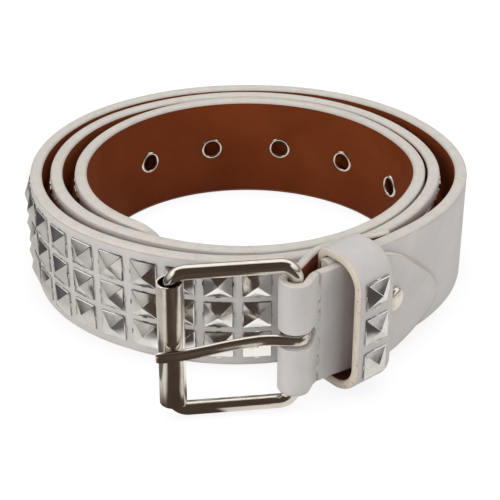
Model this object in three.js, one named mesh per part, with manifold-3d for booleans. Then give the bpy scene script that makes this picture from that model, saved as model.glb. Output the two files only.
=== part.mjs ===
// Studded belt, coiled and standing on its edge, with a roller buckle on a folded leather tab.
// Millimetres, +Z up, the floor is z = 0 and the view from the front looks along +Y.
import * as THREE from "three";
import { mergeVertices } from "three/addons/utils/BufferGeometryUtils.js";
import Module from "manifold-3d";

const wasm = await Module();
wasm.setup();

// Strap: an outer leather with a thin lining glued inside it, between painted edges that
// reach over the whole thickness
const STRAP_WIDTH = 38;
const LEATHER_THICKNESS = 2.8;
const LINING_THICKNESS = 0.9;
const GLUE_LINE = 0.3;
const EDGE_ROUNDING = 0.8;
const EDGE_RIM = 1;
const CLEARANCE = 0.3;

// Stretches of the strap, from the buckle end to the rounded tip
const PLAIN_LENGTH = 108;
const STUD_COLUMNS = 58;
const BARE_LENGTH = 143;
const HOLE_MARGIN = 12.8;
const TIP_STUD_COLUMNS = 4;
const TIP_LENGTH = 45;
const TIP_ROUND_LENGTH = 17;

// Pyramid studs in rows of three across the strap
const STUD_SIZE = 9;
const STUD_HEIGHT = 2.3;
const STUD_SKIRT = 0.5;
const STUD_COLUMN_PITCH = 11.5;
const STUD_ROW_PITCH = 10.9;
const STUD_ROWS = 3;

// Eyelets in the belt holes
const HOLE_COUNT = 5;
const HOLE_PITCH = 27;
const EYELET_BORE = 6.1;
const EYELET_WALL = 0.4;
const EYELET_FLANGE = 8.2;
const EYELET_FLANGE_THICKNESS = 0.4;

// Coil seen from above
const COIL_HALF_WIDTH = 74.1;
const COIL_HALF_DEPTH = 67.65;

// Buckle: a bent wire frame with a roller on its far bar and a prong on its near bar
const WIRE_DIAMETER = 4.4;
const FRAME_LENGTH = 35.9;
const FRAME_HEIGHT = 46.4;
const FRAME_CORNER_RADIUS = 4.6;
const FRAME_YAW = 7.4;
const ROLLER_DIAMETER = 8;
const ROLLER_WALL = 0.6;
const ROLLER_LENGTH = 41;
const PRONG_WIDTH = 3.4;
const PRONG_THICKNESS = 2.2;
const PRONG_OVERHANG = 5;
const PRONG_DROP = 1.2;

// Place of the near bar, right of the coil's middle and in front of its front
const BAR_RIGHT = 13.6;
const BAR_STAND_OFF = 20.4;

// Tab: folded round the near bar, with the strap's square end between its two legs
const TAB_THICKNESS = 2.6;
const TAB_TONGUE_LENGTH = 38;
const TAB_FRONT_LENGTH = 52.5;
const TAB_BACK_LENGTH = 31.5;
const TAB_TONGUE_DROP = 7.5;
const TAB_TIP_THICKNESS = 1.3;
const STRAP_END_GAP = 13.3;
const FOLD_YAW = 50.8;
const TAIL_YAW = 34.8;
const SLOT_MARGIN = 1;
const SLOT_REACH = 5;
const NECK_AT = 5.2;
const NECK_FRONT = 2.4;
const NECK_BACK = 3.9;
const SNAP_DIAMETER = 8.8;
const SNAP_HEIGHT = 1.8;
const SNAP_AT = 25;

// Keeper: a loose loop round the strap and the tab's front leg, with studs on its face
const KEEPER_WALL = 2.8;
const KEEPER_WIDTH = 14;
const KEEPER_AT = 8.8;
const KEEPER_LOOSENESS = 6;
const KEEPER_HEADROOM = 1.4;
const KEEPER_SAG = 0.5;
const KEEPER_FRONT_RADIUS = 10;
const KEEPER_BACK_RADIUS = 4.8;
const KEEPER_STUD_PITCH = 12;

const STRAP_THICKNESS = LEATHER_THICKNESS + GLUE_LINE + LINING_THICKNESS;
const OUTER_FACE = STRAP_THICKNESS / 2;
const INNER_FACE = -STRAP_THICKNESS / 2;
const LINING_FACE = INNER_FACE + LINING_THICKNESS;
const LEATHER_BACK = LINING_FACE + GLUE_LINE;
const LINING_INSET = EDGE_RIM + CLEARANCE;
const WIRE_RADIUS = WIRE_DIAMETER / 2;
const FRAME_MIDDLE = WIRE_RADIUS + FRAME_HEIGHT / 2;
const TAIL_LIFT = FRAME_MIDDLE - STRAP_WIDTH / 2;
const TAIL_LIFT_LENGTH = 90;

// Rows every 30 degrees round the coil, from where the buckle end leaves it. In the first turn
// "reach" is a share of the coil's own outline. In the later turns "gap" is the air to the turn
// outside, as a share of the stud height that fills it.
const COIL_START = -30;
const COIL_ROW_STEP = 30;
const ROWS_PER_TURN = 360 / COIL_ROW_STEP;
const COIL_ROWS = [
  { reach: 1.0 }, { reach: 1.0 }, { reach: 0.998 }, { reach: 1.009 }, { reach: 1.008 }, { reach: 1.01 },
  { reach: 1.006 }, { reach: 1.0 }, { reach: 1.01 }, { reach: 1.005 }, { reach: 0.995 }, { reach: 0.948 },
  { gap: 1.52 }, { gap: 2.17 }, { gap: 2.26 }, { gap: 1.74 }, { gap: 1.12 }, { gap: 1.26 },
  { gap: 1.12 }, { gap: 1.12 }, { gap: 1.12 }, { gap: 1.12 }, { gap: 0.6 }, { gap: 0.3 },
  { gap: 0.25 }, { gap: 0.25 }, { gap: 0.38 }, { gap: 0.38 }, { gap: 0.38 }, { gap: 0.65 },
  { gap: 1.7 }, { gap: 1.75 }, { gap: 1.15 }, { gap: 0.28 }, { gap: 0.28 }, { gap: 0.28 },
];

// Outline of the tongue and of the strap's tip: share of the length, share of the width
const TONGUE_ROWS = [
  { along: 0, width: 1 }, { along: 0.2, width: 0.98 }, { along: 0.36, width: 0.9 },
  { along: 0.52, width: 0.76 }, { along: 0.68, width: 0.6 }, { along: 0.81, width: 0.46 },
  { along: 0.91, width: 0.32 }, { along: 0.975, width: 0.18 }, { along: 1, width: 0.07 },
];
const TIP_ROWS = [
  { along: 0, width: 1 }, { along: 0.35, width: 0.95 }, { along: 0.62, width: 0.82 },
  { along: 0.82, width: 0.62 }, { along: 0.94, width: 0.4 }, { along: 1, width: 0.16 },
];

const WHITE_LEATHER = new THREE.MeshStandardMaterial({ color: 0xdcd9d8, roughness: 0.45 });
const BROWN_LINING = new THREE.MeshStandardMaterial({ color: 0x8a4421, roughness: 0.6 });
const NICKEL = new THREE.MeshStandardMaterial({ color: 0xc9c4ba, roughness: 0.18, metalness: 1 });

const rad = (degrees) => (degrees * Math.PI) / 180;
const unit = (degrees) => new THREE.Vector2(Math.cos(rad(degrees)), Math.sin(rad(degrees)));
const mix = (a, b, t) => a + (b - a) * t;

// Radius of the strap's outer face on each row of the coil
const rowRadii = [];
COIL_ROWS.forEach((row, index) => {
  const angle = rad(COIL_START + index * COIL_ROW_STEP);
  const outline = 1 / Math.hypot(Math.cos(angle) / COIL_HALF_WIDTH, Math.sin(angle) / COIL_HALF_DEPTH);
  const inside = rowRadii[index - ROWS_PER_TURN] - STRAP_THICKNESS - CLEARANCE - row.gap * STUD_HEIGHT;
  rowRadii.push(row.gap === undefined ? outline * row.reach : inside);
});

// Smooth value between table rows, at a row number that may have a fraction
function between(values, at) {
  const last = values.length - 1;
  const k = Math.min(Math.max(Math.floor(at), 0), last - 1);
  const t = at - k;
  const [p0, p1, p2, p3] = [k - 1, k, k + 1, k + 2].map((i) => values[Math.min(Math.max(i, 0), last)]);
  const slope = [(p2 - p0) / 2, (p3 - p1) / 2];
  const cubic = (2 * p1 - 2 * p2 + slope[0] + slope[1]) * t + (3 * p2 - 3 * p1 - 2 * slope[0] - slope[1]);
  return (cubic * t + slope[0]) * t + p1;
}

function coilPoint(angle) {
  const radius = between(rowRadii, (angle - COIL_START) / COIL_ROW_STEP) - STRAP_THICKNESS / 2;
  return unit(angle).multiplyScalar(radius);
}

// Middle line of the whole strap in plan, from its square end behind the buckle to its tip
const bar = new THREE.Vector2(BAR_RIGHT, -COIL_HALF_DEPTH - BAR_STAND_OFF);
const strapEnd = bar.clone().addScaledVector(unit(FOLD_YAW), STRAP_END_GAP);
const coilStart = coilPoint(COIL_START);
const coilStartBack = coilStart.clone().sub(coilPoint(COIL_START + 1)).normalize();
const tailSpan = strapEnd.distanceTo(coilStart);
const tail = new THREE.CubicBezierCurve(
  strapEnd,
  strapEnd.clone().addScaledVector(unit(TAIL_YAW), tailSpan / 3),
  coilStart.clone().addScaledVector(coilStartBack, tailSpan / 4),
  coilStart,
);
const strapLine = tail.getPoints(30);
const COIL_STEP = 2;
for (let angle = COIL_START + COIL_STEP; angle <= COIL_START + 1050; angle += COIL_STEP) {
  strapLine.push(coilPoint(angle));
}
const strapLengths = [0];
for (let i = 1; i < strapLine.length; i += 1) {
  strapLengths.push(strapLengths[i - 1] + strapLine[i].distanceTo(strapLine[i - 1]));
}

// Point and outward side of the strap's middle line at a length from its square end
function onStrap(length) {
  const found = strapLengths.findIndex((value) => value >= length);
  const k = Math.min(Math.max(found, 1), strapLine.length - 2);
  const part = (length - strapLengths[k - 1]) / (strapLengths[k] - strapLengths[k - 1]);
  const ahead = strapLine[k + 1].clone().sub(strapLine[k]).normalize();
  const back = strapLine[k].clone().sub(strapLine[k - 1]).normalize();
  const along = back.lerp(ahead, part).normalize();
  return {
    point: strapLine[k - 1].clone().lerp(strapLine[k], part),
    along,
    out: new THREE.Vector2(along.y, -along.x),
  };
}

// How far the strap's buckle end is held off the floor by the buckle
function lift(length) {
  const t = Math.min(Math.max((length + STRAP_END_GAP) / TAIL_LIFT_LENGTH, 0), 1);
  return (TAIL_LIFT * (1 + Math.cos(Math.PI * t))) / 2;
}

// Stations along the strap, one facet for each column of studs or half hole pitch
const stations = [0];
const studColumns = [];
const holes = [];
function stretch(length, count, mark) {
  const start = stations[stations.length - 1];
  for (let i = 1; i <= count; i += 1) {
    stations.push(start + (length * i) / count);
    mark?.(start + (length * (i - 0.5)) / count, stations.length - 2, i);
  }
}
const plainFacets = (length) => Math.max(1, Math.round(length / STUD_COLUMN_PITCH));
const markStuds = (middle, facet) => studColumns.push(facet);
const markHole = (middle, facet, i) => i % 2 === 1 && holes.push(facet);
stretch(PLAIN_LENGTH, 2 * plainFacets(PLAIN_LENGTH));
stretch(STUD_COLUMNS * STUD_COLUMN_PITCH, STUD_COLUMNS, markStuds);
stretch(BARE_LENGTH, plainFacets(BARE_LENGTH));
stretch((HOLE_COUNT - 0.5) * HOLE_PITCH, 2 * HOLE_COUNT - 1, markHole);
stretch(HOLE_MARGIN, 1);
stretch(TIP_STUD_COLUMNS * STUD_COLUMN_PITCH, TIP_STUD_COLUMNS, markStuds);
stretch(TIP_LENGTH - TIP_ROUND_LENGTH, plainFacets(TIP_LENGTH - TIP_ROUND_LENGTH));
const tipStart = stations[stations.length - 1];
TIP_ROWS.slice(1).forEach((row) => stations.push(tipStart + row.along * TIP_ROUND_LENGTH));

function tipWidth(length) {
  const along = (length - tipStart) / TIP_ROUND_LENGTH;
  const row = TIP_ROWS.find((entry) => Math.abs(entry.along - along) < 1e-6);
  return STRAP_WIDTH * (row ? row.width : 1);
}

// Closed surface through rings of points, each ring listed the same way round
function loft(rings, closed = false) {
  const size = rings[0].length;
  const positions = rings.flat().flatMap((p) => [p.x, p.y, p.z]);
  const index = [];
  const spans = closed ? rings.length : rings.length - 1;
  for (let i = 0; i < spans; i += 1) {
    const a = i * size;
    const b = ((i + 1) % rings.length) * size;
    for (let j = 0; j < size; j += 1) {
      const k = (j + 1) % size;
      index.push(a + j, b + j, b + k, a + j, b + k, a + k);
    }
  }
  if (!closed) {
    const end = (rings.length - 1) * size;
    index.push(...capFaces(rings[0]).flatMap(([a, b, c]) => [a, b, c]));
    index.push(...capFaces(rings[rings.length - 1]).flatMap(([a, b, c]) => [end + a, end + c, end + b]));
  }
  const geometry = new THREE.BufferGeometry();
  geometry.setAttribute("position", new THREE.Float32BufferAttribute(positions, 3));
  geometry.setIndex(index);
  return outward(geometry);
}

// Triangles that fill a flat ring of points, in the ring's own order
function capFaces(ring) {
  const across = ring[1].clone().sub(ring[0]).normalize();
  const normal = new THREE.Vector3();
  ring.forEach((p, i) => {
    const q = ring[(i + 1) % ring.length];
    normal.add(p.clone().sub(ring[0]).cross(q.clone().sub(ring[0])));
  });
  const up = normal.normalize().clone().cross(across);
  const contour = ring.map((p) => {
    const arm = p.clone().sub(ring[0]);
    return new THREE.Vector2(arm.dot(across), arm.dot(up));
  });
  return THREE.ShapeUtils.triangulateShape(contour, []);
}

// Turns a closed surface so that its faces point out
function outward(geometry) {
  const p = geometry.attributes.position;
  const index = geometry.index.array;
  const [a, b, c] = [new THREE.Vector3(), new THREE.Vector3(), new THREE.Vector3()];
  let volume = 0;
  for (let i = 0; i < index.length; i += 3) {
    a.fromBufferAttribute(p, index[i]);
    b.fromBufferAttribute(p, index[i + 1]);
    c.fromBufferAttribute(p, index[i + 2]);
    volume += a.dot(b.cross(c));
  }
  if (volume < 0) {
    for (let i = 0; i < index.length; i += 3) {
      [index[i + 1], index[i + 2]] = [index[i + 2], index[i + 1]];
    }
  }
  return geometry;
}

function solid(geometry) {
  const bare = geometry.clone();
  ["normal", "uv"].forEach((name) => bare.deleteAttribute(name));
  const merged = mergeVertices(bare, 1e-4);
  return new wasm.Manifold(new wasm.Mesh({
    numProp: 3,
    vertProperties: new Float32Array(merged.attributes.position.array),
    triVerts: new Uint32Array(merged.index.array),
  }));
}

function surface(manifold) {
  const { vertProperties, triVerts } = manifold.getMesh();
  const geometry = new THREE.BufferGeometry();
  geometry.setAttribute("position", new THREE.Float32BufferAttribute(vertProperties, 3));
  geometry.setIndex(new THREE.Uint32BufferAttribute(triVerts, 1));
  return geometry;
}

function joined(solids) {
  let list = solids;
  while (list.length > 1) {
    const next = [];
    for (let i = 0; i < list.length; i += 2) {
      next.push(i + 1 < list.length ? list[i].add(list[i + 1]) : list[i]);
    }
    list = next;
  }
  return list[0];
}

// Section of a band of leather, standing on edge, with its edges cut back. With a "floor" the
// band has a shallow channel in its inner face, as deep as that offset.
function bandRing(point, out, outer, inner, low, high, floor) {
  const cut = EDGE_ROUNDING;
  const cutIn = EDGE_ROUNDING / 2;
  const [rimLow, rimHigh] = [low + EDGE_RIM, high - EDGE_RIM];
  const channel = [[inner, rimHigh], [floor, rimHigh], [floor, rimLow], [inner, rimLow]];
  const section = [
    [outer, low + cut], [outer, high - cut], [outer - cut, high],
    [inner + cutIn, high], [inner, high - cutIn],
    ...(floor === undefined ? [] : channel),
    [inner, low + cutIn], [inner + cutIn, low], [outer - cut, low],
  ];
  return section.map(([offset, z]) => standing(point, out, offset, z));
}

// Point at a height, moved aside from a point in plan
function standing(point, out, offset, z) {
  const p = point.clone().addScaledVector(out, offset);
  return new THREE.Vector3(p.x, p.y, z);
}

// Rings along the strap for one of its layers
function strapRings(inset, ring) {
  return loft(stations.map((length) => {
    const { point, out } = onStrap(length);
    const half = tipWidth(length) / 2 - inset;
    const middle = STRAP_WIDTH / 2 + lift(length);
    return ring(point, out, middle - half, middle + half);
  }));
}

// Frame of a facet's face at an offset from the strap's middle line
function facetFrame(facet, offset) {
  const [a, b] = [onStrap(stations[facet]), onStrap(stations[facet + 1])];
  const start = a.point.clone().addScaledVector(a.out, offset);
  const end = b.point.clone().addScaledVector(b.out, offset);
  const along = end.clone().sub(start).normalize();
  const middle = start.add(end).multiplyScalar(0.5);
  const z = STRAP_WIDTH / 2 + (lift(stations[facet]) + lift(stations[facet + 1])) / 2;
  return placed(middle, z, along);
}

// Matrix with x along the strap, y out of its outer face and z up
function placed(point, z, along) {
  const x = new THREE.Vector3(along.x, along.y, 0);
  const y = new THREE.Vector3(along.y, -along.x, 0);
  const matrix = new THREE.Matrix4().makeBasis(x, y, new THREE.Vector3(0, 0, -1));
  return matrix.setPosition(point.x, point.y, z);
}

// Pyramid stud on a short straight skirt, sunk by "sink" into what carries it
function studGeometry(sink) {
  const half = STUD_SIZE / 2;
  const square = (y, size) => [[-1, -1], [1, -1], [1, 1], [-1, 1]].map(
    ([x, z]) => new THREE.Vector3(x * size, y, z * size),
  );
  const tip = 0.15;
  return loft([square(-sink, half), square(STUD_SKIRT, half), square(STUD_HEIGHT, tip)]);
}

function buildStrap() {
  const band = solid(strapRings(0, (point, out, low, high) => (
    bandRing(point, out, OUTER_FACE, INNER_FACE, low, high, LEATHER_BACK)
  )));
  const studs = [];
  const stud = studGeometry(LEATHER_THICKNESS / 2);
  studColumns.forEach((facet) => {
    for (let row = 0; row < STUD_ROWS; row += 1) {
      const up = (row - (STUD_ROWS - 1) / 2) * STUD_ROW_PITCH;
      const matrix = facetFrame(facet, OUTER_FACE);
      matrix.multiply(new THREE.Matrix4().makeTranslation(0, 0, up));
      studs.push(solid(outward(stud.clone().applyMatrix4(matrix))));
    }
  });
  return surface(joined([band, ...studs]).subtract(joined(holes.map(holeCutter))));
}

// Round hole through the whole strap
function holeCutter(facet) {
  const radius = EYELET_BORE / 2 + EYELET_WALL + CLEARANCE;
  const depth = STRAP_THICKNESS + 2 * CLEARANCE;
  const cutter = new THREE.CylinderGeometry(radius, radius, depth, 12);
  return solid(outward(cutter.applyMatrix4(facetFrame(facet, 0))));
}

function buildLining() {
  const band = solid(strapRings(LINING_INSET, (point, out, low, high) => (
    [[LINING_FACE, low], [LINING_FACE, high], [INNER_FACE, high], [INNER_FACE, low]].map(
      ([offset, z]) => standing(point, out, offset, z),
    )
  )));
  return surface(band.subtract(joined(holes.map(holeCutter))));
}

// Rolled eyelet: a barrel with a flat flange on each face of the strap
function buildEyelet(facet) {
  const bore = EYELET_BORE / 2;
  const barrel = bore + EYELET_WALL;
  const flange = EYELET_FLANGE / 2;
  const seat = STRAP_THICKNESS / 2 + CLEARANCE;
  const top = seat + EYELET_FLANGE_THICKNESS;
  const profile = [
    [bore, -top], [flange, -top], [flange, -seat], [barrel, -seat],
    [barrel, seat], [flange, seat], [flange, top], [bore, top], [bore, -top],
  ];
  const ring = new THREE.LatheGeometry(profile.map(([x, y]) => new THREE.Vector2(x, y)), 14);
  return surface(solid(outward(ring.applyMatrix4(facetFrame(facet, 0)))));
}

// How far the tongue hangs below the strap's own middle
function tongueDrop(length) {
  return TAB_TONGUE_DROP * Math.max(0, length / TAB_FRONT_LENGTH) ** 1.6;
}

// Middle line of the tab, from the tip of its tongue round the bar to the end of its back leg
function tabStations() {
  const front = OUTER_FACE + CLEARANCE + TAB_THICKNESS / 2;
  const foldRadius = WIRE_RADIUS + CLEARANCE + TAB_THICKNESS / 2;
  const backClose = INNER_FACE - CLEARANCE - TAB_THICKNESS / 2;
  const backOpen = backClose - KEEPER_WALL - 3.5 * CLEARANCE;
  const list = [];
  const tongueStart = TAB_FRONT_LENGTH - TAB_TONGUE_LENGTH;
  const frontLengths = TONGUE_ROWS.map((row) => tongueStart + row.along * TAB_TONGUE_LENGTH).reverse();
  frontLengths.push(0.5 * tongueStart, 0);
  frontLengths.forEach((length) => {
    const { point, out } = onStrap(length);
    const share = Math.max(0, (length - tongueStart) / TAB_TONGUE_LENGTH);
    const row = TONGUE_ROWS.find((entry) => Math.abs(entry.along - share) < 1e-6);
    const thickness = mix(TAB_THICKNESS, TAB_TIP_THICKNESS, share);
    list.push({
      point: point.clone().addScaledVector(out, front - (TAB_THICKNESS - thickness) / 2),
      out,
      thickness,
      width: STRAP_WIDTH * (row ? row.width : 1),
      middle: STRAP_WIDTH / 2 + lift(length) - tongueDrop(length),
    });
  });
  const fold = (degrees, radius) => ({
    point: bar.clone().addScaledVector(unit(FOLD_YAW + degrees), radius),
    out: unit(FOLD_YAW + degrees),
    thickness: TAB_THICKNESS,
    width: STRAP_WIDTH,
    middle: FRAME_MIDDLE,
  });
  const neck = (side) => ({
    ...fold(side > 0 ? -90 : -270, Math.abs(side)),
    point: bar.clone().addScaledVector(unit(FOLD_YAW), NECK_AT).addScaledVector(unit(FOLD_YAW - 90), side),
  });
  list.push(neck(NECK_FRONT));
  for (let turn = -90; turn >= -270; turn -= 30) {
    list.push(fold(turn, foldRadius));
  }
  list.push(neck(-NECK_BACK));
  [0.1, 0.3, 0.45, 0.7, 0.85, 1].forEach((share) => {
    const length = share * TAB_BACK_LENGTH;
    const { point, out } = onStrap(length);
    const closing = Math.min(1, Math.max(0, (length - KEEPER_AT - KEEPER_WIDTH / 2) / KEEPER_WIDTH));
    list.push({
      point: point.clone().addScaledVector(out, mix(backOpen, backClose, closing)),
      out: out.clone().negate(),
      thickness: TAB_THICKNESS,
      width: STRAP_WIDTH,
      middle: STRAP_WIDTH / 2 + lift(length),
    });
  });
  return list;
}

function buildTab() {
  const band = loft(tabStations().map(({ point, out, thickness, width, middle }) => {
    const [low, high] = [middle - width / 2, middle + width / 2];
    return bandRing(point, out, thickness / 2, -thickness / 2, low, high);
  }));
  const reach = 2 * (WIRE_DIAMETER + TAB_THICKNESS);
  const height = PRONG_WIDTH + 2 * SLOT_MARGIN;
  const slot = new THREE.BoxGeometry(reach, reach, height).translate(SLOT_REACH - reach / 2, 0, 0);
  slot.applyMatrix4(new THREE.Matrix4().makeRotationZ(rad(FOLD_YAW)));
  slot.translate(bar.x, bar.y, FRAME_MIDDLE);
  return surface(solid(band).subtract(solid(slot)));
}

// Rectangle with one radius on its two upper corners and one on its two lower corners
function roundedRectangle(shape, halfWidth, halfHeight, upper, lower) {
  shape.absarc(halfWidth - upper, halfHeight - upper, upper, 0, Math.PI / 2);
  shape.absarc(upper - halfWidth, halfHeight - upper, upper, Math.PI / 2, Math.PI);
  shape.absarc(lower - halfWidth, lower - halfHeight, lower, Math.PI, 1.5 * Math.PI);
  shape.absarc(halfWidth - lower, lower - halfHeight, lower, 1.5 * Math.PI, 2 * Math.PI);
  shape.closePath();
  return shape;
}

// Keeper loop in its own frame: x along the strap, y out, z up
const keeperInside = STRAP_THICKNESS + CLEARANCE + TAB_THICKNESS + CLEARANCE + KEEPER_LOOSENESS;
const keeperHalfDepth = keeperInside / 2 + KEEPER_WALL;
const keeperHalfHeight = STRAP_WIDTH / 2 + KEEPER_HEADROOM + KEEPER_WALL;
const keeperSpot = onStrap(KEEPER_AT);
const keeperMiddle = keeperSpot.point.clone().addScaledVector(
  keeperSpot.out,
  INNER_FACE - 2.5 * CLEARANCE + keeperInside / 2,
);
const keeperHeight = STRAP_WIDTH / 2 + lift(KEEPER_AT) - KEEPER_SAG;
const keeperFrame = placed(keeperMiddle, keeperHeight, keeperSpot.along);

function buildKeeper() {
  const ring = (shape, inset) => roundedRectangle(
    shape,
    keeperHalfHeight - inset,
    keeperHalfDepth - inset,
    KEEPER_FRONT_RADIUS - inset,
    KEEPER_BACK_RADIUS - inset,
  );
  const outline = ring(new THREE.Shape(), 0);
  outline.holes.push(ring(new THREE.Path(), KEEPER_WALL));
  const settings = { depth: KEEPER_WIDTH, bevelEnabled: false, curveSegments: 5 };
  const loop = new THREE.ExtrudeGeometry(outline, settings).translate(0, 0, -KEEPER_WIDTH / 2);
  loop.applyMatrix4(new THREE.Matrix4().makeRotationY(Math.PI / 2));
  loop.applyMatrix4(keeperFrame);
  return surface(solid(outward(mergeVertices(stripped(loop), 1e-4))));
}

function stripped(geometry) {
  const bare = geometry.clone();
  ["normal", "uv"].forEach((name) => bare.deleteAttribute(name));
  return bare;
}

function buildKeeperStud(row) {
  const up = (row - (STUD_ROWS - 1) / 2) * KEEPER_STUD_PITCH;
  const lifted = new THREE.Matrix4().makeTranslation(0, keeperHalfDepth + CLEARANCE, up);
  return outward(studGeometry(0).applyMatrix4(keeperFrame.clone().multiply(lifted)));
}

// Domed snap cap on the tongue
function buildSnapCap() {
  const radius = SNAP_DIAMETER / 2;
  const profile = [[0, 0], [radius, 0], [radius, 0.35], [0.86, 0.62], [0.55, 0.9], [0, 1]];
  const points = profile.map(([x, y], i) => (
    i < 3 ? new THREE.Vector2(x, y) : new THREE.Vector2(x * radius, y * SNAP_HEIGHT)
  ));
  const cap = new THREE.LatheGeometry(points, 16);
  const { point, out, along } = onStrap(SNAP_AT);
  const seat = OUTER_FACE + CLEARANCE + TAB_THICKNESS + CLEARANCE;
  const z = STRAP_WIDTH / 2 + lift(SNAP_AT);
  return surface(solid(outward(cap.applyMatrix4(placed(point.addScaledVector(out, seat), z, along)))));
}

// Buckle frame axes: x from the near bar to the roller, y out of the buckle's face, z up
const frameAxes = new THREE.Matrix4().makeRotationZ(rad(180 + FRAME_YAW)).setPosition(bar.x, bar.y, 0);

function buildFrame() {
  const path = roundedRectangle(
    new THREE.Path(), FRAME_LENGTH / 2, FRAME_HEIGHT / 2, FRAME_CORNER_RADIUS, FRAME_CORNER_RADIUS,
  );
  const loop = path.getPoints(3).slice(0, -1);
  const sides = 10;
  const rings = loop.map((point, i) => {
    const before = loop[(i + loop.length - 1) % loop.length];
    const after = loop[(i + 1) % loop.length];
    const along = after.clone().sub(before).normalize();
    return Array.from({ length: sides }, (_, j) => {
      const turn = (2 * Math.PI * j) / sides;
      const aside = WIRE_RADIUS * Math.cos(turn);
      return new THREE.Vector3(
        FRAME_LENGTH / 2 + point.x + along.y * aside,
        WIRE_RADIUS * Math.sin(turn),
        FRAME_MIDDLE + point.y - along.x * aside,
      );
    });
  });
  return surface(solid(outward(loft(rings, true).applyMatrix4(frameAxes))));
}

function buildRoller() {
  const [outer, inner] = [ROLLER_DIAMETER / 2, ROLLER_DIAMETER / 2 - ROLLER_WALL];
  const half = ROLLER_LENGTH / 2;
  const profile = [[inner, -half], [outer, -half], [outer, half], [inner, half], [inner, -half]];
  const tube = new THREE.LatheGeometry(profile.map(([x, y]) => new THREE.Vector2(x, y)), 20);
  tube.rotateX(Math.PI / 2).translate(FRAME_LENGTH, 0, FRAME_MIDDLE).applyMatrix4(frameAxes);
  return surface(solid(outward(tube)));
}

// Prong: a flat wire curled back round the near bar, bent in, then out over the roller
function buildProng() {
  const half = PRONG_THICKNESS / 2;
  const curl = WIRE_RADIUS + CLEARANCE + half;
  const rest = ROLLER_DIAMETER / 2 + CLEARANCE + half;
  const middle = [];
  for (let turn = -30; turn >= -270; turn -= 20) {
    middle.push(new THREE.Vector2(curl * Math.cos(rad(turn)), curl * Math.sin(rad(turn))));
  }
  [[0.25, 0.36], [0.5, 0.5], [0.76, 0.8], [1, 1]].forEach(([x, y]) => {
    middle.push(new THREE.Vector2(FRAME_LENGTH * x, rest * y));
  });
  middle.push(new THREE.Vector2(FRAME_LENGTH + PRONG_OVERHANG, rest));
  const rings = middle.map((point, i) => {
    const before = middle[Math.max(i - 1, 0)];
    const after = middle[Math.min(i + 1, middle.length - 1)];
    const along = after.clone().sub(before).normalize();
    const across = new THREE.Vector2(-along.y, along.x);
    const share = Math.max(0, point.x / FRAME_LENGTH);
    const z = FRAME_MIDDLE - PRONG_DROP * Math.min(share, 1) ** 2;
    const flat = PRONG_WIDTH / 2;
    const corner = 0.6;
    return [
      [-half, -flat + corner], [-half, flat - corner], [-half + corner, flat], [half - corner, flat],
      [half, flat - corner], [half, -flat + corner], [half - corner, -flat], [-half + corner, -flat],
    ].map(([y, up]) => new THREE.Vector3(point.x + across.x * y, point.y + across.y * y, z + up));
  });
  return surface(solid(outward(loft(rings).applyMatrix4(frameAxes))));
}

const belt = new THREE.Group();
function addPiece(name, geometry, material) {
  const mesh = new THREE.Mesh(geometry, material);
  mesh.name = name;
  belt.add(mesh);
}
addPiece("strap", buildStrap(), WHITE_LEATHER);
addPiece("lining", buildLining(), BROWN_LINING);
holes.forEach((facet, i) => addPiece(`eyelet_${i + 1}`, buildEyelet(facet), NICKEL));
addPiece("buckle_tab", buildTab(), WHITE_LEATHER);
addPiece("keeper", buildKeeper(), WHITE_LEATHER);
for (let row = 0; row < STUD_ROWS; row += 1) {
  addPiece(`keeper_stud_${row + 1}`, buildKeeperStud(row), NICKEL);
}
addPiece("snap_cap", buildSnapCap(), NICKEL);
addPiece("buckle_frame", buildFrame(), NICKEL);
addPiece("roller", buildRoller(), NICKEL);
addPiece("prong", buildProng(), NICKEL);

// The origin is under the middle of the whole belt's box
const box = new THREE.Box3().setFromObject(belt);
belt.position.set(-(box.min.x + box.max.x) / 2, -(box.min.y + box.max.y) / 2, -box.min.z);
const object = new THREE.Group();
object.add(belt);
export default object;
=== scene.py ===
import bisect
import math

import bmesh
import bpy
from mathutils import Matrix, Vector


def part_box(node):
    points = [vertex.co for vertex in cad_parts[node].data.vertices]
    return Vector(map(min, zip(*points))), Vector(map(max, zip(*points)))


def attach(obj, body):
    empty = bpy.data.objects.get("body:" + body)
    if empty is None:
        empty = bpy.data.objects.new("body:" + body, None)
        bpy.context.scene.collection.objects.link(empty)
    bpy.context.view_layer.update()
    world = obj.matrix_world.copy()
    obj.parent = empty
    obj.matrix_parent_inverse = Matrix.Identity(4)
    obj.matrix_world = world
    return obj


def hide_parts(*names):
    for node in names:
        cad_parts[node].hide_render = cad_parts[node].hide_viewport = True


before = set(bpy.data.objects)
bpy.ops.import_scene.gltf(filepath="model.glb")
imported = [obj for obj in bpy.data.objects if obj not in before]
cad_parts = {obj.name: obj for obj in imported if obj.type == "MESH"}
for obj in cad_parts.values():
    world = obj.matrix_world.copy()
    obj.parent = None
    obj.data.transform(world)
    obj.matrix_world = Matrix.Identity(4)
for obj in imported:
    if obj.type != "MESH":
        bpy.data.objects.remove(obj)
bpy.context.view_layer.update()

# Studio. A pale floor under soft light, as a small object is shot on a sheet of paper. The camera
# sees floor and background white, and polished metal mirrors the tones of a room in them; on the
# floor these tones are painted reflections, shown to mirrored rays only.


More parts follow.
